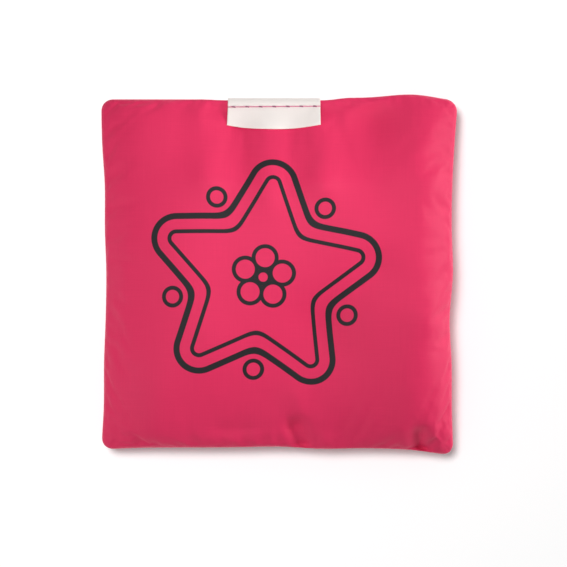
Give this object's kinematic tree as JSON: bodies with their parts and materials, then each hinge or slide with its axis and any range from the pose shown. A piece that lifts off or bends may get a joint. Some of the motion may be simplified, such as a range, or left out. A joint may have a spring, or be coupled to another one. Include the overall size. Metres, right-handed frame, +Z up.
{
  "type": "toss bean bag",
  "caption": "Square pellet-filled cloth bag with turned seams and a ribbon label folded over and stitched through its top edge.",
  "frame": {"origin": "middle of the bag's outline, on the surface that it lies on", "axes": "+Z up out of the front panel, +Y towards the edge with the label, +X to the right of the front panel"},
  "size_m": [0.1018, 0.1028, 0.0203],
  "materials": {
    "cloth": "satin",
    "ribbon": "satin",
    "closing_thread": "satin",
    "seam_thread": "satin",
    "pellets": "satin"
  },
  "bodies": {
    "bag": {"cover_front": "cloth", "cover_back": "cloth", "pellet_fill": "pellets", "label_fold": "ribbon", "seam_needle_thread": "seam_thread", "seam_bobbin_thread": "seam_thread", "closing_needle_thread": "closing_thread", "closing_bobbin_thread": "closing_thread"},
    "front_label_end": {"label_front_flap": "ribbon"},
    "back_label_end": {"label_back_flap": "ribbon"}
  },
  "joints": [
    {"name": "front_label_lift", "type": "hinge", "parent": "bag", "child": "front_label_end", "pos_m": [-0.0011, 0.0463, 0.01055], "axis": [-1, 0, 0], "range_deg": [0, 120], "stiffness_Nm_per_rad": 0.000025},
    {"name": "back_label_lift", "type": "hinge", "parent": "bag", "child": "back_label_end", "pos_m": [-0.0011, 0.0463, 0.00605], "axis": [1, 0, 0], "range_deg": [0, 120], "stiffness_Nm_per_rad": 0.000025}
  ]
}
